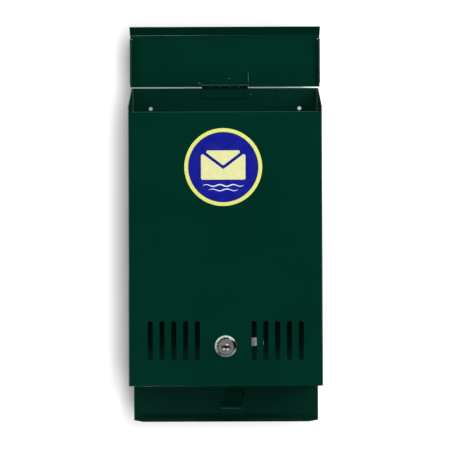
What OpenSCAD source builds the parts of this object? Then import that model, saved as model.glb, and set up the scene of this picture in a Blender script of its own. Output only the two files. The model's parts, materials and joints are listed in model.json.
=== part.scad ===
// Wall mounted sheet steel mailbox: a folded front shell welded onto a back plate, a flap lid over
// the letter mouth, a drop door underneath and a cam lock that holds the door shut.
// The lid stands open and the drop door hangs open, with the cam turned aside.
// X runs across the front, Y runs back towards the wall and Z is up. Heights inside the modules
// are measured from the bottom edge of the front panel, and placed() moves them so that the origin
// is midway between the two wall screw holes, on the face that lies on the wall.

/* [Body] */
// Width across the front shell
body_w = 201; // [160:1:260]
// Depth from the wall to the face of the front panel
body_d = 49; // [47:1:60]
// Height of the front panel's top edge
front_h = 284; // [230:1:330]
// Thickness of the folded sheet
sheet_t = 0.7; // [0.7:0.1:1]
// Outside radius of the folds
fold_r = 1.2; // [1.1:0.1:1.5]
// How much higher than the front panel the back plate reaches
back_rise = 30; // [24:1:36]
// How much higher than the front panel the side walls start, at the front
side_step = 4; // [2:1:6]
// Depth of the back plate's side flanges
flange_d = 15; // [12:1:18]
// Depth of the safety fold along the front panel's top edge
hem_d = 6; // [4:1:8]

/* [Vents] */
// Vent slots on each side of the lock
vent_count = 5; // [3:1:5]
// Width of a slot
vent_w = 5.3; // [4:0.1:6]
// Length of a slot
vent_l = 41; // [30:1:50]
// Distance between neighbouring slots
vent_pitch = 12.2; // [9:0.1:12.5]
// Distance from the middle to the first slot
vent_first = 29.3; // [27:0.1:32]
// Height of the slots' middle
vent_h = 47; // [40:1:60]

/* [Wall screws] */
// Distance between the two screw holes
screw_span = 160; // [120:1:170]
// Diameter of a screw hole
screw_d = 4; // [4:0.5:6]
// Distance of the holes below the back plate's top edge
screw_drop = 22; // [18:1:30]

/* [Lid] */
// How much wider than the shell the lid is
lid_over = 3; // [2.8:0.1:5]
// Depth of the lid's side flanges
lid_flange_d = 5; // [3:0.5:8]
// Length of the lid's front lip
lid_lip_l = 10.5; // [7:0.1:13]
// Angle between the lid and its front lip
lid_lip_a = 45; // [35:1:60]

/* [Drop door] */
// Width of the door
door_w = 198; // [150:1:198]
// Height of the door's front lip
door_lip_h = 11; // [9:0.5:11]
// How far back the lip stays from the front panel
door_gap = 1.1; // [1.1:0.1:1.5]
// Width of the latch bracket
bracket_w = 22; // [18:1:26]
// Middle of the latch bracket, measured from the middle of the door
bracket_x = 6; // [4:1:8]
// Height of the latch bracket
bracket_h = 27; // [22:1:27]

/* [Hinges] */
// Width of each hinge
hinge_w = 50; // [40:1:60]
// Length of each leaf from the pin's axis
leaf_l = 13.5; // [12:0.5:13.5]
// Radius of the pin
pin_r = 1; // [0.9:0.1:1.2]

/* [Lock] */
// Diameter of the lock's bezel
bezel_d = 23; // [22:0.5:24]
// Height of the lock's axis
lock_h = 41; // [40:1:44]
// Distance from the front panel's face to the cam
lock_reach = 16; // [15:1:18]
// Length of the cam from the axis to its tip
cam_l = 39.7; // [36:0.1:39.7]
// Width of the cam's arm
cam_w = 8.7; // [8:0.1:10]
// How far above level the cam points when it is turned aside
cam_rest_a = 6; // [0:1:10]

/* [Label] */
// Diameter of the round label
label_d = 80.5; // [60:0.5:90]
// Height of the label's middle
label_h = 226.5; // [180:0.5:228]
// Sideways place of the label's middle
label_x = -2; // [-6:1:6]

/* [Hidden] */
$fn = 64;
eps = 0.01;
big = 400;                       // longer than any cut needs
back_h = front_h + back_rise;
side_h = front_h + side_step;
screw_h = back_h - screw_drop;
paint = "darkgreen";

// Hinges: a knuckle stands clear of the plate that its leaf is welded to.
leaf_t = 0.8;
knuckle_r = pin_r + leaf_t;
bore_r = pin_r + 0.05;
moving_off = knuckle_r + 0.3;    // pin axis to the lid's or the door's inner face
fixed_off = knuckle_r + 0.5;     // pin axis to the back plate's inner face
knuckles = 5;
knuckle_gap = 0.25;
notch_w = hinge_w + 0.7;         // cut in the lid and the door, round the knuckles
edge_past = 1;                   // how far the lid and the door reach past the pin's axis
edge_gap = 2.2;                  // pin axis to the back plate's edge
axis_y = -(sheet_t + fixed_off);
lid_axis_h = back_h + edge_gap;
door_axis_h = moving_off - 1.2;  // the closed door lies 1.2 under the side walls
back_foot = door_axis_h + edge_gap;

// Lid: the closed lid clears the front corner of the side walls by 0.3.
corner = [body_d + axis_y, lid_axis_h - side_h];
lid_close_a = atan2(corner[1], corner[0]) + asin((moving_off - 0.3) / norm(corner));
lid_bend_r = 1.2;
lid_l = corner[0] * cos(lid_close_a) + corner[1] * sin(lid_close_a) + lid_bend_r;
lid_w = body_w + lid_over;

door_l = body_d + axis_y - sheet_t - door_gap;

// Lock, from the front backwards.
bezel_t = 2.4;
thread_r = 9;
flat_w = 16;
plug_head_r = 8;
plug_head_t = 1.6;
plug_r = 6.2;
housing_l = lock_reach - 1.2;
stop_t = 0.98;
cam_t = 1.8;
tail_w = 6;
cam_y = -body_d + lock_reach;
key_w = 9.2;
wafer_count = 5;
wafer_t = 1.1;
wafer_pitch = 2;
wafer_w = 5;

module placed() { translate([0, 0, -screw_h]) children(); }

// ---------- Shared shapes ----------

// A rectangle on the middle of its lower edge, with rounded corners.
module soft_rect(w, h, r) {
    translate([-w / 2, r]) square([w, h - 2 * r]);
    translate([-w / 2 + r, 0]) square([w - 2 * r, h]);
    for (x = [-1, 1], y = [r, h - r]) translate([x * (w / 2 - r), y]) circle(r);
}

// A sheet folded to a U: the web lies along X and the legs point to +Y.
module channel(w, d, t, r) {
    difference() {
        union() {
            translate([-w / 2, r]) square([w, d - r]);
            translate([-w / 2 + r, 0]) square([w - 2 * r, d]);
            for (x = [-1, 1]) translate([x * (w / 2 - r), r]) circle(r);
        }
        translate([-w / 2 + t, r]) square([w - 2 * t, d]);
        translate([-w / 2 + r, t]) square([w - 2 * r, d]);
        for (x = [-1, 1]) translate([x * (w / 2 - r), r]) circle(r - t);
    }
}

// A bent stretch of sheet round the origin, from the +X axis up to angle a, with inside radius r.
module bend(a, r, t) {
    difference() {
        circle(r + t);
        circle(r);
        rotate(180) translate([-2 * (r + t), 0]) square([4 * (r + t), 2 * (r + t)]);
        rotate(a) translate([-2 * (r + t), 0]) square([4 * (r + t), 2 * (r + t)]);
    }
}

// Extrudes a profile drawn in Y and Z along X, centred.
module across(w) {
    translate([-w / 2, 0, 0]) rotate([90, 0, 90]) linear_extrude(w) children();
}

// Stands a shape drawn round the Z axis on the lock's axis, with +Z pointing to the wall.
module lock_axis(y) { translate([0, y, lock_h]) rotate([-90, 0, 0]) children(); }

// A shallow pressed ring mark of a spot weld, cut into the face at y = 0 from the front.
module weld_mark() {
    translate([0, -1, 0]) rotate([-90, 0, 0]) cylinder(h = 1.12, r = 2.2);
}

// ---------- Body ----------

module vent() {
    rotate([90, 0, 0]) linear_extrude(4 * sheet_t, center = true) {
        square([vent_w, vent_l - vent_w], center = true);
        for (side = [-1, 1]) translate([0, side * (vent_l - vent_w) / 2]) circle(d = vent_w);
    }
}

// Everything above the sloping top of the side walls.
module above_slope() {
    rotate([90, 0, 90]) linear_extrude(big, center = true)
        polygon([[-body_d - 1, side_h - back_slope()], [1, back_h + back_slope()],
                 [1, big], [-body_d - 1, big]]);
}

// Height change of the slope over 1 of depth.
function back_slope() = (back_h - side_h) / body_d;

module front_shell() {
    color(paint) {
        difference() {
            translate([0, -body_d, 0]) linear_extrude(back_h) channel(body_w, body_d, sheet_t, fold_r);
            above_slope();
            // the front panel's top edge, lower than the side walls
            translate([-body_w / 2 + fold_r, -body_d - 1, front_h - sheet_t])
                cube([body_w - 2 * fold_r, 1 + fold_r, big]);
            for (side = [-1, 1], i = [0 : vent_count - 1])
                translate([side * (vent_first + i * vent_pitch), -body_d, vent_h]) vent();
            lock_axis(-body_d - 1) linear_extrude(4) intersection() {
                circle(thread_r + 0.1);
                square([4 * thread_r, flat_w + 0.2], center = true);
            }
            for (side = [-1, 1], h = [30 : 60 : 270])
                translate([side * body_w / 2, -flange_d / 2, h]) rotate([0, 0, side * 90]) weld_mark();
        }
        // the safety fold inside the front panel's top edge
        translate([0, -body_d + sheet_t, front_h - sheet_t]) across(body_w - 8) {
            translate([0.05, sheet_t - hem_d]) square([sheet_t - 0.05, hem_d - sheet_t]);
            intersection() {
                circle(sheet_t);
                translate([-sheet_t, 0]) square(2 * sheet_t);
            }
        }
    }
}

module back_plate() {
    color(paint) difference() {
        rotate([0, 0, 180]) linear_extrude(back_h)
            channel(body_w - 2 * sheet_t, flange_d, sheet_t, fold_r);
        above_slope();
        // the web stops above the drop door's hinge, and the flanges reach down to stop the door
        translate([-body_w, -sheet_t - 4.2, -1]) cube([2 * body_w, big, back_foot + 1]);
        for (side = [-1, 1]) translate([side * screw_span / 2, 1, screw_h])
            rotate([90, 0, 0]) cylinder(h = 4, d = screw_d);
    }
}

module label() {
    color("gold") translate([label_x, -body_d, label_h]) rotate([90, 0, 0])
        cylinder(h = 0.2, d = label_d, $fn = 128);
}

// ---------- Hinges ----------

// One leaf on the pin's axis, which lies along X. The leaf reaches up to +Z, against a plate whose
// face is at y = off, and holds every second knuckle, starting with the given one. Its edge beside
// the knuckles is at z = root.
module hinge_leaf(off, first, root) {
    pitch = hinge_w / knuckles;
    color("silver") difference() {
        union() {
            translate([0, off, root]) rotate([90, 0, 0]) linear_extrude(leaf_t)
                soft_rect(hinge_w, leaf_l - root, 1.5);
            for (i = [first : 2 : knuckles - 1]) {
                x = -hinge_w / 2 + i * pitch + knuckle_gap / 2;
                w = pitch - knuckle_gap;
                translate([x, 0, 0]) rotate([0, 90, 0]) cylinder(h = w, r = knuckle_r);
                translate([x, off - leaf_t, 0]) cube([w, leaf_t, root + 2]);
            }
        }
        rotate([0, 90, 0]) cylinder(h = hinge_w + 2, r = bore_r, center = true);
        for (x = [-17, 0, 17]) translate([x, off - leaf_t, leaf_l - 5]) weld_mark();
    }
}

module hinge_pin() {
    head_t = 0.6;
    color("silver") rotate([0, 90, 0]) {
        cylinder(h = hinge_w + 0.2, r = pin_r, center = true);
        for (side = [-1, 1]) translate([0, 0, side * (hinge_w / 2 + 0.1 + head_t / 2)])
            cylinder(h = head_t, r = pin_r + 0.5, center = true);
    }
}

module on_lid_axis() { translate([0, axis_y, lid_axis_h]) children(); }
module on_door_axis() { translate([0, axis_y, door_axis_h]) children(); }

module lid_hinge_fixed_leaf() { on_lid_axis() mirror([0, 0, 1]) hinge_leaf(fixed_off, 0, 1.5); }
module lid_hinge_moving_leaf() { on_lid_axis() hinge_leaf(moving_off, 1, 2.4); }
module lid_hinge_pin() { on_lid_axis() hinge_pin(); }
module door_hinge_fixed_leaf() { on_door_axis() hinge_leaf(fixed_off, 0, 1.5); }
module door_hinge_moving_leaf() { on_door_axis() mirror([0, 0, 1]) hinge_leaf(moving_off, 1, 2.4); }
module door_hinge_pin() { on_door_axis() hinge_pin(); }

// ---------- Lid ----------

// Drawn on the pin's axis, standing open. The inner face is at y = moving_off.
module lid() {
    outer_y = moving_off + sheet_t;
    flange_low = 3;                  // the flanges stop short of both ends
    flange_high = lid_l - 5.4;
    color(paint) on_lid_axis() {
        difference() {
            translate([0, outer_y, -edge_past]) rotate([0, 0, 180])
                linear_extrude(edge_past + lid_l - lid_bend_r)
                    channel(lid_w, lid_flange_d + sheet_t, sheet_t, fold_r);
            translate([-notch_w / 2, -big / 2, -edge_past - 1]) cube([notch_w, big, edge_past + 1.5]);
            for (side = [-1, 1]) {
                for (z = [-big + flange_low, flange_high])
                    translate([side * (lid_w / 2 + 9) - 10, moving_off - big, z]) cube([20, big, big]);
                translate([side * (lid_w / 2 - 2), outer_y + 1, flange_high + 1]) rotate([90, 0, 0])
                    cylinder(h = 4, r = 0.4);
            }
        }
        translate([0, moving_off - lid_bend_r, lid_l - lid_bend_r]) across(lid_w) {
            bend(lid_lip_a, lid_bend_r, sheet_t);
            rotate(lid_lip_a) translate([lid_bend_r, 0]) square([sheet_t, lid_lip_l]);
        }
    }
}

// ---------- Drop door ----------

// Drawn on the pin's axis, hanging open. The inner face is at y = moving_off.
module drop_door() {
    bend_r = 0.6;
    cut = door_lip_h - 0.8;          // the lip's corners are cut at 45 degrees
    lip_y = moving_off + sheet_t - door_lip_h;
    color(paint) on_door_axis() {
        difference() {
            translate([-door_w / 2, moving_off, -door_l + bend_r + sheet_t])
                cube([door_w, sheet_t, door_l + edge_past - bend_r - sheet_t]);
            translate([-notch_w / 2, -1, -0.5]) cube([notch_w, 10, edge_past + 1]);
        }
        difference() {
            union() {
                translate([0, moving_off - bend_r, -door_l + bend_r + sheet_t]) across(door_w) rotate(-90)
                    bend(90, bend_r, sheet_t);
                translate([-door_w / 2, lip_y, -door_l])
                    cube([door_w, door_lip_h - bend_r - sheet_t, sheet_t]);
            }
            for (side = [-1, 1]) translate([side * door_w / 2, lip_y, -door_l]) rotate([0, 0, 45])
                cube([cut * sqrt(2), cut * sqrt(2), 5], center = true);
        }
    }
}

// An angle welded on the door's inner face. Its upright leans forward, and its top stands close
// behind the cam when the door is shut and locked.
module latch_bracket() {
    t = 1.2;
    foot_l = 10.6;
    top_at = axis_y - cam_y - cam_t - 0.5;      // from the pin's axis to the upright's top edge
    foot_at = leaf_l + 0.3 + foot_l;            // from the pin's axis to the foot of the upright
    lean = asin((top_at - foot_at) / bracket_h);
    inner = t * (cos(lean) - (1 - sin(lean)) * tan(lean));
    tip = -bracket_h * [cos(lean), sin(lean)];
    color("silver") on_door_axis() translate([bracket_x, moving_off, -foot_at]) difference() {
        across(bracket_w) polygon([[0, 0], [0, foot_l], [-t, foot_l], [-t, inner],
                                   tip + t * [-sin(lean), cos(lean)], tip]);
        for (side = [-1, 1]) {
            translate([side * bracket_w / 2, 0, foot_l]) rotate([0, 45, 0])
                cube([1.8, 5, 1.8], center = true);
            rotate([lean, 0, 0]) translate([side * bracket_w / 2, -bracket_h, 0]) rotate([0, 0, 45])
                cube([1.8, 1.8, 5], center = true);
        }
        for (x = [-6, 4]) translate([x, -t, 4]) weld_mark();
    }
}

// ---------- Lock ----------

// The bezel in front of the panel, the threaded barrel behind it and the bore for the plug.
module lock_housing() {
    r = bezel_d / 2;
    color("silver") lock_axis(-body_d) difference() {
        union() {
            rotate_extrude($fn = 96) difference() {
                union() {
                    translate([0, -bezel_t + 1.7]) square([r, bezel_t - 1.7]);
                    translate([0, -bezel_t])
                        polygon([[0, 0], [8.4, 0], [r - 0.6, 0.85], [r - 0.1, 1.3], [r, 1.7], [0, 1.7]]);
                }
                translate([-eps - 1, -3]) square([1, 4]);
            }
            intersection() {
                translate([0, 0, -0.5]) cylinder(h = housing_l + 0.5, r = thread_r);
                translate([-20, -flat_w / 2, -1]) cube([40, flat_w, 40]);
            }
            // the lug that the stop washer's notch turns against
            translate([-7.9, -1, housing_l - 0.1]) cube([1.6, 2, stop_t + 0.02]);
        }
        translate([0, 0, -bezel_t - 1]) cylinder(h = plug_head_t + 1.05 + 0.35, r = plug_head_r + 0.05);
        translate([0, 0, -bezel_t - 1]) cylinder(h = 40, r = plug_r + 0.05);
        for (z = [3.4 : 1.2 : housing_l - 1.6]) translate([0, 0, z]) rotate_extrude()
            translate([thread_r, 0]) circle(0.35, $fn = 16);
    }
}

module lock_nut() {
    nut_t = 3;
    color("silver") lock_axis(-body_d + sheet_t) difference() {
        cylinder(h = nut_t, d = 25.4, $fn = 6);
        translate([0, 0, -1]) cylinder(h = nut_t + 2, r = thread_r + 0.05);
    }
}

// The keyway's outline: a level slot with a step in the middle.
module keyway() {
    s = key_w / 2;
    polygon([[-s, -0.5], [-1.5, -0.5], [-0.8, -1.2], [1, -1.2], [1.7, -0.3], [s, -0.2],
             [s, 1.2], [1.6, 1.2], [0.9, 1.25], [-0.9, 1.25], [-1.6, 1], [-s, 1]]);
}

module lock_plug() {
    head_z = -bezel_t + 0.35;
    color("gray") lock_axis(-body_d) difference() {
        union() {
            translate([0, 0, head_z]) cylinder(h = plug_head_t, r = plug_head_r);
            translate([0, 0, head_z]) cylinder(h = housing_l - head_z, r = plug_r);
            rotate([0, 0, -cam_rest_a]) translate([-tail_w / 2, -tail_w / 2, housing_l - eps])
                cube([tail_w, tail_w, 1.2 + cam_t + eps]);
        }
        // keyway, three dimples round it, screw hole and one pocket for each wafer
        translate([0, 0, head_z - 1]) linear_extrude(14.5) keyway();
        for (p = [[1.3, -2.4], [-1.8, 2.5], [2.2, 2.5]]) translate([p[0], p[1], head_z - 0.6]) sphere(1.3);
        translate([0, 0, housing_l - 2]) cylinder(h = 10, r = 2);
        for (i = [0 : wafer_count - 1]) wafer_place(i)
            cube([3 * plug_r, wafer_w + 0.2, wafer_t + 0.2], center = true);
    }
}

module wafer_place(i) { translate([0, 0, 2.2 + i * wafer_pitch]) children(); }

module lock_wafers() {
    color("gold") lock_axis(-body_d) for (i = [0 : wafer_count - 1]) wafer_place(i) difference() {
        intersection() {
            cube([3 * plug_r, wafer_w, wafer_t], center = true);
            cylinder(h = 3, r = plug_r - 0.1, center = true);
        }
        cube([key_w - 0.6, 2.6, 3], center = true);
        // pocket for the spring beside the window
        translate([plug_r - 0.75, 0, 0]) cube([1.5, 1.6, 3], center = true);
    }
}

// A closed coil beside each wafer's window, drawn as a wavy tube.
module lock_springs() {
    coil_r = 0.42;
    wire_r = 0.13;
    color("silver") lock_axis(-body_d) for (i = [0 : wafer_count - 1]) wafer_place(i)
        translate([plug_r - 0.8, 0.6, 0]) rotate([90, 0, 0]) rotate_extrude($fn = 24)
            for (k = [0 : 5]) translate([coil_r - wire_r, k * 0.22 + wire_r]) circle(wire_r, $fn = 16);
}

// Turns with the plug. The housing's lug sits in its notch and ends the turn at both sides.
module stop_washer() {
    lug_a = 10;                      // half the lug's angle, with play
    color("silver") lock_axis(-body_d + housing_l + 0.2) linear_extrude(stop_t) difference() {
        circle(8.6);
        rotate(-cam_rest_a) square(tail_w + 0.1, center = true);
        difference() {
            circle(12);
            circle(6);
            rotate(lug_a) translate([-20, -40]) square([40, 40]);
            rotate(180 - 90 - cam_rest_a - lug_a) translate([-20, -40]) square([40, 40]);
        }
    }
}

module lock_cam() {
    color("lightgray") lock_axis(cam_y) rotate([0, 0, -cam_rest_a]) linear_extrude(cam_t) difference() {
        union() {
            circle(8);
            translate([0, -cam_w / 2]) square([cam_l, cam_w]);
        }
        square(tail_w + 0.1, center = true);
    }
}

module cam_washer() {
    color("silver") lock_axis(cam_y + cam_t + 0.02) difference() {
        cylinder(h = 0.8, r = 5);
        translate([0, 0, -1]) cylinder(h = 3, r = 2.1);
    }
}

module cam_screw() {
    head_h = 2;
    color("silver") lock_axis(cam_y + cam_t + 0.84) difference() {
        union() {
            cylinder(h = head_h, r = 3.6);
            translate([0, 0, -3.6]) cylinder(h = 3.7, r = 1.95);
        }
        translate([-4, -0.5, head_h - 1]) cube([8, 1, 2]);
    }
}

placed() front_shell();
placed() back_plate();
placed() label();
placed() lid();
placed() lid_hinge_fixed_leaf();
placed() lid_hinge_moving_leaf();
placed() lid_hinge_pin();
placed() drop_door();
placed() door_hinge_fixed_leaf();
placed() door_hinge_moving_leaf();
placed() door_hinge_pin();
placed() latch_bracket();
placed() lock_housing();
placed() lock_nut();
placed() lock_plug();
placed() lock_wafers();
placed() lock_springs();
placed() stop_washer();
placed() lock_cam();
placed() cam_washer();
placed() cam_screw();
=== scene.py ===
import json
import math

import bmesh
import bpy
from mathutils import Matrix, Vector
from mathutils.bvhtree import BVHTree

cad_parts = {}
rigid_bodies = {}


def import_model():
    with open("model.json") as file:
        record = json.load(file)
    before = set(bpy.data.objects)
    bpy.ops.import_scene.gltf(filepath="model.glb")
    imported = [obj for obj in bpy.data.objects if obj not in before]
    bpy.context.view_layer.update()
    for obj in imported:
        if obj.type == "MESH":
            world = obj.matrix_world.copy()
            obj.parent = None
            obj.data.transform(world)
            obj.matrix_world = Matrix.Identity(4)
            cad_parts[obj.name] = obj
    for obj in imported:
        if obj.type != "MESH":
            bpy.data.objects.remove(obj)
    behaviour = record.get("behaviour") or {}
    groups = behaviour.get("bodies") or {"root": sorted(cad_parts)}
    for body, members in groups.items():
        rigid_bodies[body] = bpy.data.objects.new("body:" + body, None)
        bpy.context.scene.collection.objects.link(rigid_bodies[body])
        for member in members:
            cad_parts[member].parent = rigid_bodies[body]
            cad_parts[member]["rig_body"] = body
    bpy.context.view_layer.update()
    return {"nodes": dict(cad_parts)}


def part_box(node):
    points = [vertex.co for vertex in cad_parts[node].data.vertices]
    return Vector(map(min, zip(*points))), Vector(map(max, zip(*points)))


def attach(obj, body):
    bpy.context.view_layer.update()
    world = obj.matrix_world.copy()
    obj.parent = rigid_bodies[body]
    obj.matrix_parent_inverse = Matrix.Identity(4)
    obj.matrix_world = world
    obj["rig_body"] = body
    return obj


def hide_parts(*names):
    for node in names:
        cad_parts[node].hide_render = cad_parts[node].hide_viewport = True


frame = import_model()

MM = 0.001
nodes = frame["nodes"]
scene = bpy.context.scene


def place(name, data):
    """A new object in the scene."""
    obj = bpy.data.objects.new(name, data)
    scene.collection.objects.link(obj)
    return obj


# ---------- Node helpers ----------

def connect(tree, socket, value):
    """Sets a socket to a number or a colour, or links it to another node's output."""
    if isinstance(value, (int, float)):
        socket.default_value = value
    elif isinstance(value, tuple):
        socket.default_value = (*value, 1.0)
    else:
        tree.links.new(value, socket)


def map_range(tree, value, limits):
    """The value mapped from limits[0]..limits[1] to limits[2]..limits[3], and clamped there."""
    node = tree.nodes.new("ShaderNodeMapRange")
    for key, number in zip(("From Min", "From Max", "To Min", "To Max"), limits):
        node.inputs[key].default_value = number
    tree.links.new(value, node.inputs["Value"])
    return node.outputs["Result"]


def product(tree, a, b):
    """One value times another."""
    node = tree.nodes.new("ShaderNodeMath")
    node.operation = "MULTIPLY"
    connect(tree, node.inputs[0], a)
    connect(tree, node.inputs[1], b)
    return node.outputs["Value"]


class Shader:
    """A material being built: adds nodes, links them and sets the shader's own sockets."""

    def __init__(self, name):
        self.mat = bpy.data.materials.new(name)
        self.mat.use_nodes = True
        self.tree = self.mat.node_tree
        self.bsdf = self.tree.nodes["Principled BSDF"]
        self.coord = self.tree.nodes.new("ShaderNodeTexCoord")
        self.relief = None

    def set(self, **values):
        for key, value in values.items():
            self.bsdf.inputs[key.replace("_", " ")].default_value = value

    def texture(self, kind, output, stretch=(1, 1, 1), **values):
        """A texture node's output, on the piece's own coordinates times stretch."""
        mapping = self.tree.nodes.new("ShaderNodeMapping")
        mapping.inputs["Scale"].default_value = stretch
        self.tree.links.new(self.coord.outputs["Object"], mapping.inputs["Vector"])
        node = self.tree.nodes.new(kind)
        for key, value in values.items():
            node.inputs[key].default_value = value
        self.tree.links.new(mapping.outputs["Vector"], node.inputs["Vector"])
        return node.outputs[output]

    def noise(self, scale, detail=3.0, rough=0.5, stretch=(1, 1, 1)):
        return self.texture("ShaderNodeTexNoise", "Fac", stretch, Scale=scale, Detail=detail, Roughness=rough)

    def voronoi(self, scale):
        return self.texture("ShaderNodeTexVoronoi", "Distance", Scale=scale)

    def ramp(self, value, low, high, a=0.0, b=1.0):
        return map_range(self.tree, value, (low, high, a, b))

    def mix(self, factor, a, b):
        """The colour a where the factor is 0, and b where it is 1."""
        node = self.tree.nodes.new("ShaderNodeMix")
        node.data_type = "RGBA"
        connect(self.tree, node.inputs[0], factor)
        connect(self.tree, node.inputs[6], a)
        connect(self.tree, node.inputs[7], b)
        return node.outputs[2]

    def bump(self, height, distance, strength):
        """Adds a layer of relief. distance is its depth in metres."""
        node = self.tree.nodes.new("ShaderNodeBump")
        node.inputs["Strength"].default_value = strength
        node.inputs["Distance"].default_value = distance
        self.tree.links.new(height, node.inputs["Height"])
        if self.relief is not None:
            self.tree.links.new(self.relief, node.inputs["Normal"])
        self.relief = node.outputs["Normal"]
        self.tree.links.new(self.relief, self.bsdf.inputs["Normal"])

    def colour(self, output):
        self.tree.links.new(output, self.bsdf.inputs["Base Color"])

    def roughness(self, output):
        self.tree.links.new(output, self.bsdf.inputs["Roughness"])


# ---------- Materials ----------

PAINT = (0.00003, 0.0252, 0.0148)
DUST = (0.20, 0.24, 0.21)
GLINT = (0.72, 1.0, 0.93, 1.0)  # the cool cast of what the green paint reflects
GRAIN_PLATE = (0.12, 1, 1)      # drawn grain, long along X
GRAIN_PIN = (0.05, 1, 1)
GRAIN_KEYWAY = (1, 1, 0.1)      # long along Z


def tinted(base, factor):
    """The colour made lighter or darker, with no channel above 1."""
    return tuple(min(1.0, channel * factor) for channel in base)


def green_paint(name, base, rough, wave=1.0, shine=0.5):
    """Glossy powder coat: orange peel, slow waves in the sheet as high as wave says, and faint dust."""
    s = Shader(name)
    slow = s.noise(9.0, 2.0)
    fine = s.noise(70.0, 4.0, 0.6)
    tone = s.mix(s.ramp(slow, 0.35, 0.65), tinted(base, 0.9), tinted(base, 1.1))
    tone = s.mix(s.ramp(fine, 0.3, 0.75, 0.0, 0.35), tone, tinted(base, 1.25))
    grains = s.ramp(s.voronoi(420.0), 0.06, 0.03)
    patches = s.ramp(s.noise(33.0, 2.0), 0.58, 0.7)
    speck = product(s.tree, grains, patches)
    s.colour(s.mix(product(s.tree, speck, 0.06), tone, DUST))
    s.roughness(s.ramp(s.noise(24.0, 5.0, 0.65), 0.25, 0.8, rough - 0.03, rough + 0.05))
    s.set(IOR=1.5, Specular_IOR_Level=shine, Specular_Tint=GLINT)
    s.bump(s.noise(5.5, 1.0), 0.0008 * wave, 0.5)
    s.bump(s.noise(620.0, 2.0, 0.5), 0.00002, 0.5)
    s.bump(speck, 0.00003, 0.5)
    return s.mat


def zinc(name, base, rough, grain=(1, 1, 1), metallic=1.0):
    """Zinc plate: drawn grain, cloudy tone with warm patches, small pits."""
    s = Shader(name)
    cloud = s.noise(160.0, 4.0, 0.6)
    tone = s.mix(s.ramp(cloud, 0.3, 0.7), tinted(base, 0.82), base)
    warm = s.ramp(s.noise(60.0, 2.0), 0.5, 0.75, 0.0, 0.22)
    s.colour(s.mix(warm, tone, (base[0] * 1.02, base[1] * 0.97, base[2] * 0.84)))
    s.set(Metallic=metallic)
    s.roughness(s.ramp(s.noise(300.0, 3.0), 0.3, 0.75, rough - 0.08, rough + 0.12))
    s.bump(s.noise(900.0, 3.0, 0.6, grain), 0.00002, 0.5)
    s.bump(s.ramp(s.voronoi(1500.0), 0.0, 0.16), 0.000015, 0.4)
    return s.mat


def chrome(name):
    """Polished chrome with hairline scratches and a faint haze."""
    s = Shader(name)
    haze = s.noise(230.0, 3.0)
    s.colour(s.mix(s.ramp(haze, 0.35, 0.7), (0.70, 0.72, 0.73), (0.86, 0.87, 0.88)))
    s.set(Metallic=1.0)
    s.roughness(s.ramp(s.noise(420.0, 4.0, 0.7), 0.4, 0.8, 0.10, 0.22))
    s.bump(s.noise(1400.0, 2.0, 0.5, (1, 1, 0.08)), 0.000006, 0.35)
    return s.mat


def cast_zinc(name):
    """Cast zinc with a soft grain and a cloudy haze."""
    s = Shader(name)
    cloud = s.noise(340.0, 5.0, 0.65)
    s.colour(s.mix(s.ramp(cloud, 0.3, 0.72), (0.27, 0.255, 0.245), (0.40, 0.38, 0.365)))
    s.set(Metallic=1.0)
    s.roughness(s.ramp(s.noise(700.0, 3.0), 0.3, 0.7, 0.36, 0.52))
    s.bump(s.noise(2400.0, 3.0, 0.6), 0.00003, 0.6)
    return s.mat


def brass(name):
    """Stamped brass, darkened far below bright brass as painted shade for the wafers inside the keyway, with
    scratches along X.
    """
    s = Shader(name)
    s.colour(s.mix(s.ramp(s.noise(500.0, 4.0), 0.3, 0.7), (0.12, 0.08, 0.03), (0.22, 0.15, 0.06)))
    s.set(Metallic=1.0)
    s.roughness(s.ramp(s.noise(900.0, 2.0), 0.3, 0.7, 0.24, 0.42))
    s.bump(s.noise(1800.0, 2.0, 0.5, (0.1, 1, 1)), 0.00001, 0.5)
    return s.mat


def vinyl(name, base):
    """Printed vinyl: even ink with slight mottle and a soft ripple of the film."""
    s = Shader(name)
    mottle = s.noise(260.0, 4.0, 0.6)
    s.colour(s.mix(s.ramp(mottle, 0.3, 0.7), tinted(base, 0.93), tinted(base, 1.05)))
    s.roughness(s.ramp(s.noise(120.0, 3.0), 0.3, 0.7, 0.29, 0.40))
    s.bump(s.noise(45.0, 2.0), 0.00008, 0.4)
    s.bump(s.noise(1500.0, 2.0), 0.000008, 0.5)
    return s.mat


paint_front = green_paint("paint_front", PAINT, 0.18)
# a little darker than the front's green, the same coat: painted shade for the inside of the box
back_painted_shade = green_paint("back_painted_shade", (0.0001, 0.0235, 0.0150), 0.2, 0.8)
paint_lid = green_paint("paint_lid", PAINT, 0.18)
# darker than the front's green though it is the same coat: painted shade on the door
door_painted_shade = green_paint("door_painted_shade", (0.00005, 0.0205, 0.0128), 0.2)
paint_hinge = green_paint("paint_hinge", PAINT, 0.2, 0.2, 0.2)
# about five times lighter than the green coat: a painted highlight on the weld marks, not a colour of their
# own
weld_painted_highlight = green_paint("weld_painted_highlight", (0.012, 0.12, 0.09), 0.5, 0.0, 0.3)
# lighter than the door's green though it is the same coat: painted light against the shade on the bracket
bracket_painted_light = green_paint("bracket_painted_light", (0.0001, 0.0300, 0.0190), 0.22, 0.2, 0.3)
# darker than the hinge paint on the lid, the same coat: painted shade so the fixed leaves look no lighter
# than the back plate
inner_hinge_painted_shade = green_paint("inner_hinge_painted_shade", (0.0003, 0.0222, 0.0150), 0.2, 0.4, 0.4)
steel_pin = zinc("steel_pin", (0.10, 0.12, 0.11), 0.42, GRAIN_PIN)
cam_plate = zinc("cam_plate", (0.84, 0.84, 0.83), 0.5, GRAIN_PLATE, 0.45)
zinc_nut = zinc("zinc_nut", (0.58, 0.59, 0.6), 0.34)
spring_wire = zinc("spring_wire", (0.5, 0.5, 0.5), 0.28)
lock_chrome = chrome("lock_chrome")
plug_metal = cast_zinc("plug_metal")
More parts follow.
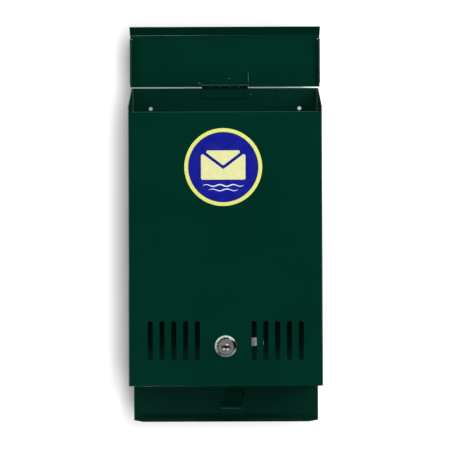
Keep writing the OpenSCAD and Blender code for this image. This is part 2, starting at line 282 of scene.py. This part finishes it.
# lighter than the plug's cast zinc: partly a polished pit, partly a painted highlight in the dimples
dimple_polish_and_highlight = zinc("dimple_polish_and_highlight", (0.62, 0.62, 0.61), 0.34, metallic=0.85)
# near black, the plug's own zinc darkened: painted shade in the keyway
keyway_painted_shade = zinc("keyway_painted_shade", (0.05, 0.047, 0.042), 0.5, GRAIN_KEYWAY, 0.8)
# painted shade: the wafers are made as dark as the keyway they sit in
wafer_brass_painted_shade = brass("wafer_brass_painted_shade")
ink_blue = vinyl("ink_blue", (0.0018, 0.0052, 0.255))
ink_yellow = vinyl("ink_yellow", (0.74, 0.754, 0.19))
ink_cream = vinyl("ink_cream", (0.77, 0.75, 0.36))
ink_white = vinyl("ink_white", (0.74, 0.76, 0.92))
ink_line = vinyl("ink_line", (0.02, 0.02, 0.05))


# ---------- Pieces made from the CAD nodes ----------

SAME_POINT = 2e-6      # metres: closer points become one
FLAT_ANGLE = 0.4       # degrees: faces that turn by less become one
SHARP_ANGLE = 32.0     # degrees: edges that turn by more are rounded
REFINED_CREASE = 40.0  # degrees: edges that turn by more stay a crease in the shading
MADE_CREASE = 35.0     # the same, for the pieces that have no node
WELD_ROUNDS = 6


def turns_by(edge, angle):
    """True where two faces meet at the edge and turn by more than angle degrees."""
    return len(edge.link_faces) == 2 and edge.calc_face_angle(0.0) > math.radians(angle)


def smooth(obj, crease):
    """Shades the piece smooth, with creases at the edges that turn by more than crease degrees."""
    for face in obj.data.polygons:
        face.use_smooth = True
    bm = bmesh.new()
    bm.from_mesh(obj.data)
    for edge in bm.edges:
        edge.smooth = not turns_by(edge, crease)
    bm.to_mesh(obj.data)
    bm.free()


def pull_in_spikes(bm, source, reach):
    """Welds each corner that the bevel threw off the node's surface to a good neighbour."""
    surface = BVHTree.FromObject(source, bpy.context.evaluated_depsgraph_get())
    for _ in range(WELD_ROUNDS):
        stray = {v for v in bm.verts if surface.find_nearest(v.co)[3] > reach}
        targets = {}
        for v in stray:
            near = [e.other_vert(v) for e in v.link_edges if e.other_vert(v) not in stray]
            if near:
                targets[v] = min(near, key=lambda w: (w.co - v.co).length)
        if not targets:
            break
        bmesh.ops.weld_verts(bm, targetmap=targets)
    bmesh.ops.dissolve_degenerate(bm, dist=1e-7, edges=bm.edges)
    corners = [Vector(c) for c in source.bound_box]
    box_low = [min(c[i] for c in corners) for i in range(3)]
    box_high = [max(c[i] for c in corners) for i in range(3)]
    for v in bm.verts:
        v.co = [min(max(v.co[i], box_low[i]), box_high[i]) for i in range(3)]


def rounded_mesh(source, name, width, segments):
    """A copy of the node's mesh with its sharp edges rounded."""
    mesh = bpy.data.meshes.new(name)
    bm = bmesh.new()
    bm.from_mesh(source.data)
    bmesh.ops.remove_doubles(bm, verts=bm.verts, dist=SAME_POINT)
    bmesh.ops.dissolve_limit(bm, angle_limit=math.radians(FLAT_ANGLE), verts=bm.verts, edges=bm.edges)
    sharp = [edge for edge in bm.edges if turns_by(edge, SHARP_ANGLE)]
    bmesh.ops.bevel(bm, geom=sharp, offset=width, offset_type="OFFSET", segments=segments,
                    profile=0.5, affect="EDGES", clamp_overlap=False)
    pull_in_spikes(bm, source, 0.6 * width)
    bm.to_mesh(mesh)
    bm.free()
    return mesh


def refined(node, material, width, segments):
    """The node's shape with its edges softened, as a piece of its own that stands for the node."""
    source = nodes[node]
    mesh = rounded_mesh(source, node + "_shape", width, segments)
    mesh.materials.append(material)
    for face in mesh.polygons:
        face.material_index = 0
    obj = place(node + "_look", mesh)
    smooth(obj, REFINED_CREASE)
    weighted = obj.modifiers.new("normals", "WEIGHTED_NORMAL")
    weighted.mode = "FACE_AREA"
    weighted.weight = 50
    weighted.keep_sharp = True
    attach(obj, source["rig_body"])
    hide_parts(node)
    return obj


REFINED = (
    # node, material, width of the rounding in millimetres, its segments, slot
    ("front_shell", paint_front, 0.18, 2, "green_paint"),
    ("back_plate", back_painted_shade, 0.16, 2, "green_paint"),
    ("lid", paint_lid, 0.10, 2, "green_paint"),
    ("drop_door", door_painted_shade, 0.18, 2, "green_paint"),
    ("latch_bracket", bracket_painted_light, 0.10, 2, "green_paint"),
    ("lid_hinge_moving_leaf", paint_hinge, 0.12, 2, "green_paint"),
    ("door_hinge_moving_leaf", paint_hinge, 0.12, 2, "green_paint"),
    ("lid_hinge_fixed_leaf", inner_hinge_painted_shade, 0.12, 2, "green_paint"),
    ("door_hinge_fixed_leaf", inner_hinge_painted_shade, 0.12, 2, "green_paint"),
    ("lid_hinge_pin", steel_pin, 0.2, 3, "pin_steel"),
    ("door_hinge_pin", steel_pin, 0.2, 3, "pin_steel"),
    ("lock_nut", zinc_nut, 0.25, 2, "zinc_plate"),
    ("lock_cam", cam_plate, 0.15, 2, "zinc_plate"),
    ("cam_screw", zinc_nut, 0.15, 2, "zinc_plate"),
    ("cam_washer", zinc_nut, 0.12, 2, "zinc_plate"),
    ("stop_washer", zinc_nut, 0.1, 2, "zinc_plate"),
    ("lock_housing", lock_chrome, 0.12, 3, "lock_chrome"),
    ("lock_plug", plug_metal, 0.12, 2, "zinc_cast"),
    ("lock_wafers", wafer_brass_painted_shade, 0.06, 2, "brass"),
)
looks = {node: refined(node, material, width * MM, segments)
         for node, material, width, segments, slot in REFINED}
nodes["lock_springs"].data.materials.clear()
nodes["lock_springs"].data.materials.append(spring_wire)


# ---------- The lock plug's dimples and keyway ----------

FRONT_SKIN = 0.03 * MM    # faces within this of the plug's very front are its head's front
DIMPLE_DEPTH = 0.75 * MM
DIMPLE_TOP = 3.8 * MM
DIMPLE_HALF = 3.6 * MM
KEYWAY_HALF = 1.3 * MM    # half the keyway's height, with its rounded edge
KEYWAY_REACH = 4.8 * MM

plug_low, plug_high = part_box("lock_plug")
plug_middle = (plug_low.z + plug_high.z) / 2


def plug_face_material(face):
    """0 for the plug's own metal; 1 in the dimples above and below the keyway, lighter than the plug's zinc,
    partly a polished pit and partly a painted highlight; 2 in the keyway, darkened as painted shade.
    """
    depth = face.center.y - plug_low.y
    level = abs(face.center.z - plug_middle)
    across = abs(face.center.x)
    if FRONT_SKIN < depth < DIMPLE_DEPTH and KEYWAY_HALF < level < DIMPLE_TOP and across < DIMPLE_HALF:
        return 1
    if depth > FRONT_SKIN and level < KEYWAY_HALF and across < KEYWAY_REACH:
        return 2
    return 0


plug = looks["lock_plug"].data
plug.materials.append(dimple_polish_and_highlight)
plug.materials.append(keyway_painted_shade)
for face in plug.polygons:
    face.material_index = plug_face_material(face)


# ---------- Weld marks beside the lid's hinge, with painted highlights ---

def make_piece(name, verts, faces, materials, face_slots, body):
    """A piece from points and faces. face_slots holds each face's place in materials."""
    mesh = bpy.data.meshes.new(name)
    mesh.from_pydata(verts, [], faces)
    for material in materials:
        mesh.materials.append(material)
    for polygon, index in zip(mesh.polygons, face_slots):
        polygon.material_index = index
    mesh.validate()
    obj = place(name, mesh)
    smooth(obj, MADE_CREASE)
    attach(obj, body)
    return obj


def turn_outward(mesh):
    """Makes every face of a closed mesh look outward."""
    bm = bmesh.new()
    bm.from_mesh(mesh)
    bmesh.ops.recalc_face_normals(bm, faces=bm.faces)
    bm.to_mesh(mesh)
    bm.free()


def ring_faces(outer, inner, count):
    """The faces between two rings of points. outer and inner are the rings' first points."""
    pairs = [(k, (k + 1) % count) for k in range(count)]
    return [(outer + k, outer + n, inner + n, inner + k) for k, n in pairs]


def bead(name, x, z, face_y, radius, height, body, tall=1.0):
    """A low bead on a face that looks to -Y, tall times as high as it is wide, in a paint much lighter than
    the green: a painted highlight.
    """
    rings, count = 6, 24
    verts = [(x, face_y - height, z)]
    for i in range(1, rings + 1):
        slope = math.pi / 2 * i / rings
        for k in range(count):
            a = 2 * math.pi * k / count
            wobble = 1 + 0.08 * math.sin(3 * a + x * 900)
            reach = radius * wobble * math.sin(slope)
            verts.append((x + reach * math.cos(a), face_y - height * math.cos(slope),
                          z + tall * reach * math.sin(a)))
    faces = [(0, 1 + (k + 1) % count, 1 + k) for k in range(count)]
    for i in range(rings - 1):
        faces += ring_faces(1 + i * count, 1 + (i + 1) * count, count)
    faces.append(tuple(1 + (rings - 1) * count + k for k in range(count)))
    obj = make_piece(name, verts, faces, [weld_painted_highlight], [0] * len(faces), body)
    turn_outward(obj.data)


lid_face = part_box("lid_hinge_moving_leaf")[1].y
plate_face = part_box("lid_hinge_fixed_leaf")[1].y
bead("weld_bead_1", -0.0274, 0.0272, lid_face, 1.1 * MM, 0.6 * MM, "lid")
bead("weld_bead_2", 0.0046, 0.0320, lid_face - 0.8 * MM, 0.9 * MM, 0.5 * MM, "lid")
bead("weld_seam", 0.0250, 0.0330, lid_face, 0.62 * MM, 0.9 * MM, "lid", 10.0)
bead("weld_bead_3", 0.0275, 0.0150, plate_face, 0.8 * MM, 0.45 * MM, "body")


# ---------- The round label ----------

BLUE, YELLOW, DARK_LINE = 0, 1, 2  # places of the inks in the disc's materials
RING_INSIDE = 3.85 * MM            # the yellow ring ends this far in from the label's edge
LINE_INSIDE = 4.25 * MM            # and the dark line beside it here
DISC_COUNT = 192
CORNER_STEPS = 6
WAVE_STEPS = 72

label_low, label_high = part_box("label")
label_middle = (label_low + label_high) / 2
label_thickness = label_high.y - label_low.y
label_radius = (label_high.x - label_low.x) / 2


def label_point(x, z, lift):
    """A point on the label: x and z in metres from its middle, lift in metres off the panel."""
    return Vector((label_middle.x + x, label_high.y - lift, label_middle.z + z))


def label_disc():
    """The sticker's disc: the yellow ring, the dark line inside the ring and the blue middle."""
    top = 0.80 * label_thickness
    rings = [  # radius, height, ink between this ring and the next one in
        (label_radius, 0.0, YELLOW),
        (label_radius, 0.5 * top, YELLOW),
        (label_radius - 0.10 * MM, 0.9 * top, YELLOW),
        (label_radius - 0.22 * MM, top, YELLOW),
        (label_radius - RING_INSIDE, top, DARK_LINE),
        (label_radius - LINE_INSIDE, top, BLUE),
        (label_radius * 0.6, top, BLUE),
        (label_radius * 0.3, top, BLUE),
    ]
    verts, faces, inks = [], [], []
    for radius, lift, _ in rings:
        for k in range(DISC_COUNT):
            a = 2 * math.pi * k / DISC_COUNT
            verts.append(label_point(radius * math.cos(a), radius * math.sin(a), lift))
    for i in range(len(rings) - 1):
        faces += ring_faces(i * DISC_COUNT, (i + 1) * DISC_COUNT, DISC_COUNT)
        inks += [rings[i][2]] * DISC_COUNT
    last = (len(rings) - 1) * DISC_COUNT
    faces.append(tuple(last + k for k in range(DISC_COUNT)))
    faces.append(tuple(reversed(range(DISC_COUNT))))
    inks += [BLUE, BLUE]
    return make_piece("label_disc", verts, faces, [ink_blue, ink_yellow, ink_line], inks, "body")


def round_corners(points, radius):
    """The closed outline with each corner rounded. Points are (x, z) in millimetres."""
    out = []
    n = len(points)
    for i in range(n):
        p, a, b = Vector(points[i]), Vector(points[i - 1]), Vector(points[(i + 1) % n])
        da, db = (a - p).normalized(), (b - p).normalized()
        half = da.angle(db) / 2
        cut = min(radius / math.tan(half), (a - p).length * 0.45, (b - p).length * 0.45)
        r = cut * math.tan(half)
        centre = p + (da + db).normalized() * (r / math.sin(half))
        start, end = p + da * cut - centre, p + db * cut - centre
        a0 = math.atan2(start.y, start.x)
        turn = (math.atan2(end.y, end.x) - a0 + math.pi) % (2 * math.pi) - math.pi
        for k in range(CORNER_STEPS + 1):
            t = a0 + turn * k / CORNER_STEPS
            out.append((centre.x + r * math.cos(t), centre.y + r * math.sin(t)))
    return out


def wave_line(x0, x1, z, swing, width, waves):
    """A wavy stroke that thins towards both ends, in millimetres."""
    upper, lower = [], []
    for k in range(WAVE_STEPS + 1):
        t = k / WAVE_STEPS
        x = x0 + (x1 - x0) * t
        y = z + swing * math.sin(2 * math.pi * waves * t)
        half = width * (0.25 + 0.75 * math.sin(math.pi * t) ** 0.6) / 2
        upper.append((x, y + half))
        lower.append((x, y - half))
    return upper + lower[::-1]


def printed(name, outlines, material, low, high):
    """Flat printed shapes, each a closed outline in millimetres round the label's middle."""
    bm = bmesh.new()
    for outline in outlines:
        under = [bm.verts.new(label_point(x * MM, z * MM, low)) for x, z in outline]
        over = [bm.verts.new(label_point(x * MM, z * MM, high)) for x, z in outline]
        bm.faces.new(over)
        bm.faces.new(list(reversed(under)))
        n = len(outline)
        for k in range(n):
            bm.faces.new((under[k], under[(k + 1) % n], over[(k + 1) % n], over[k]))
    bmesh.ops.recalc_face_normals(bm, faces=bm.faces)
    mesh = bpy.data.meshes.new(name)
    bm.to_mesh(mesh)
    bm.free()
    mesh.materials.append(material)
    obj = place(name, mesh)
    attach(obj, "body")
    return obj


disc = label_disc()
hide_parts("label")
ink_low, ink_high = 0.78 * label_thickness, 0.92 * label_thickness
flap = round_corners([(-20.5, 17.2), (20.5, 17.2), (0.0, 1.6)], 1.6)
pocket = round_corners([(-23.0, 15.0), (-23.0, -13.0), (23.0, -13.0), (23.0, 15.0), (0.0, -2.2)], 1.8)
printed("label_envelope", [flap, pocket], ink_cream, ink_low, ink_high)
waves = [wave_line(-21, 21, -19.0, 0.9, 1.3, 3), wave_line(-15, 15, -23.6, 0.9, 1.1, 2)]
printed("label_waves", waves, ink_white, ink_low, ink_high)


# ---------- Stage ----------

MID = (0, -0.03, -0.13)  # the middle of the mailbox
WALL_MID = (0, 0.16, -0.13)
NEAR, FAR = 0.38, 0.95   # metres from MID: the stage's own glow grows from the first to the second


def one_sided(name, colour, near_glow, far_glow):
    """A pale stage surface that shows from its front only, and glows more further from the mailbox."""
    mat = bpy.data.materials.new(name)
    mat.use_nodes = True
    tree = mat.node_tree
    tree.nodes.clear()
    matt = tree.nodes.new("ShaderNodeBsdfDiffuse")
    matt.inputs["Color"].default_value = (*colour, 1)
    spot = tree.nodes.new("ShaderNodeTexCoord")
    distance = tree.nodes.new("ShaderNodeVectorMath")
    distance.operation = "DISTANCE"
    distance.inputs[1].default_value = MID
    tree.links.new(spot.outputs["Object"], distance.inputs[0])
    glow = tree.nodes.new("ShaderNodeEmission")
    strength = map_range(tree, distance.outputs["Value"], (NEAR, FAR, near_glow, far_glow))
    tree.links.new(strength, glow.inputs["Strength"])
    front = tree.nodes.new("ShaderNodeAddShader")
    tree.links.new(matt.outputs[0], front.inputs[0])
    tree.links.new(glow.outputs[0], front.inputs[1])
    back = tree.nodes.new("ShaderNodeBsdfTransparent")
    side = tree.nodes.new("ShaderNodeNewGeometry")
    pick = tree.nodes.new("ShaderNodeMixShader")
    tree.links.new(side.outputs["Backfacing"], pick.inputs[0])
    tree.links.new(front.outputs[0], pick.inputs[1])
    tree.links.new(back.outputs[0], pick.inputs[2])
    out = tree.nodes.new("ShaderNodeOutputMaterial")
    tree.links.new(pick.outputs[0], out.inputs["Surface"])
    return mat


def plane(name, centre, u, v, material):
    """A stage rectangle that only the camera sees. u and v reach from its centre to its sides."""
    mesh = bpy.data.meshes.new(name)
    c, u, v = Vector(centre), Vector(u), Vector(v)
    mesh.from_pydata([c - u - v, c + u - v, c + u + v, c - u + v], [], [(0, 1, 2, 3)])
    mesh.materials.append(material)
    obj = place(name, mesh)
    for ray in ("diffuse", "glossy", "transmission", "shadow", "volume_scatter"):
        setattr(obj, "visible_" + ray, False)
    return obj


backdrop_white = one_sided("backdrop_white", (0.885, 0.86, 0.864), 0.02, 0.75)
floor_pale = one_sided("floor_pale", (0.86, 0.86, 0.85), 0.9, 1.0)
backdrop = plane("backdrop", WALL_MID, (0.9, 0, 0), (0, 0, 0.8), backdrop_white)
floor = plane("floor", (0, -0.9, -0.93), (2.2, 0, 0), (0, 1.06, 0), floor_pale)


# ---------- Lamps ----------

def receivers(name, pieces, state):
    """The pieces that a lamp lights, or leaves alone where state is EXCLUDE."""
    group = bpy.data.collections.new(name)
    for piece in pieces:
        group.objects.link(piece)
    for entry in group.collection_objects:
        entry.light_linking.link_state = state
    return group


def softbox(name, position, aim, width, height, watts, lit):
    """A rectangular lamp that looks at aim and lights what lit says."""
    data = bpy.data.lights.new(name, "AREA")
    data.shape = "RECTANGLE"
    data.size, data.size_y = width, height
    data.energy = watts
    obj = place(name, data)
    obj.location = position
    obj.rotation_mode = "QUATERNION"
    obj.rotation_quaternion = (Vector(aim) - Vector(position)).to_track_quat("-Z", "Y")
    obj.light_linking.receiver_collection = lit


# the stage has lamps of its own, and the mailbox's lamps leave it alone
only_stage = receivers("only_stage", (backdrop, floor), "INCLUDE")
not_stage = receivers("not_stage", (backdrop, floor), "EXCLUDE")
not_lock = receivers("not_lock", (backdrop, floor, looks["lock_housing"]), "EXCLUDE")
inside = receivers("inside", (looks["back_plate"], looks["lock_cam"]), "INCLUDE")
LAMPS = (
    # name, position, aim, width, height, watts, what it lights
    ("backdrop_wash", (0.105, -1.45, -0.13), WALL_MID, 0.18, 0.34, 21.0, only_stage),
    ("backdrop_soft", (0.29, -1.45, -0.13), WALL_MID, 0.36, 0.6, 9.0, only_stage),
    ("key_right", (1.35, -1.0, 0.35), MID, 0.9, 1.5, 24.0, not_lock),
    ("top_front", (-0.1, -0.95, 1.25), MID, 1.3, 0.5, 4.0, not_lock),
    ("fill_left", (-1.3, -0.8, 0.0), MID, 0.4, 1.3, 8.0, not_lock),
    ("low_left", (-0.17, -0.95, -0.95), MID, 0.16, 0.10, 3.2, not_lock),
    ("inside_fill", (0.0, -0.75, -1.25), MID, 0.9, 0.5, 3.6, inside),
    ("back_right", (1.0, 1.3, 0.5), MID, 0.9, 1.2, 16.0, not_stage),
    ("back_left", (-1.2, 1.1, 0.3), MID, 0.8, 1.2, 12.0, not_stage),
)
for lamp in LAMPS:
    softbox(*lamp)


# ---------- World ----------

TENT_COLOUR = (0.93, 1.0, 0.98, 1)
DARK_GAPS = (
    # direction, degrees from it that are dark, degrees from it where the tent is bright again
    ((0, -1, 0), 19, 31),             # round the camera
    ((0.60, -0.79, 0.00), 15, 19),    # front right
    ((0.98, -0.12, 0.02), 26, 34),    # right
    ((-0.37, -0.77, -0.54), 7, 11),   # low front left
    ((-0.56, -0.10, -0.84), 10, 15),  # low left
    ((0, -0.1, -1), 15, 45),          # below
    ((0, 1, 0), 62, 88),              # behind
)
RISE = (-0.6, 0.6, 0.26, 0.88)  # the tent's strength goes from the third to the fourth between these heights


def outside(tree, way, direction, start, stop):
    """0 where a ray's way is within start degrees of the direction, 1 beyond stop degrees."""
    dot = tree.nodes.new("ShaderNodeVectorMath")
    dot.operation = "DOT_PRODUCT"
    dot.inputs[1].default_value = Vector(direction).normalized()
    tree.links.new(way, dot.inputs[0])
    limits = (math.cos(math.radians(start)), math.cos(math.radians(stop)), 0.0, 1.0)
    return map_range(tree, dot.outputs["Value"], limits)


def tent_strength(tree):
    """The tent's brightness: none in the dark gaps, and more above than below."""
    way = tree.nodes.new("ShaderNodeTexCoord").outputs["Generated"]
    parts = tree.nodes.new("ShaderNodeSeparateXYZ")
    tree.links.new(way, parts.inputs["Vector"])
    strength = map_range(tree, parts.outputs["Z"], RISE)
    for direction, start, stop in DARK_GAPS:
        strength = product(tree, strength, outside(tree, way, direction, start, stop))
    return strength


def studio_world():
    """A pale tent for the paint and the chrome to mirror. The camera itself sees plain white."""
    world = bpy.data.worlds.new("studio")
    world.use_nodes = True
    tree = world.node_tree
    tree.nodes.clear()
    tent = tree.nodes.new("ShaderNodeBackground")
    tent.inputs["Color"].default_value = TENT_COLOUR
    tree.links.new(tent_strength(tree), tent.inputs["Strength"])
    white = tree.nodes.new("ShaderNodeBackground")
    white.inputs["Color"].default_value = (1, 1, 1, 1)
    rays = tree.nodes.new("ShaderNodeLightPath")
    pick = tree.nodes.new("ShaderNodeMixShader")
    tree.links.new(rays.outputs["Is Camera Ray"], pick.inputs[0])
    tree.links.new(tent.outputs[0], pick.inputs[1])
    tree.links.new(white.outputs[0], pick.inputs[2])
    out = tree.nodes.new("ShaderNodeOutputWorld")
    tree.links.new(pick.outputs[0], out.inputs["Surface"])
    return world


scene.world = studio_world()


# ---------- Camera ----------

camera = place("camera", bpy.data.cameras.new("camera"))
camera.data.sensor_width = 36.0
camera.data.lens = 91.45
camera.location = (0.0023, -1.2313, -0.1265)
camera.rotation_euler = (math.radians(90.052), math.radians(0.208), math.radians(0.13))
scene.camera = camera
scene.view_settings.view_transform = "Standard"
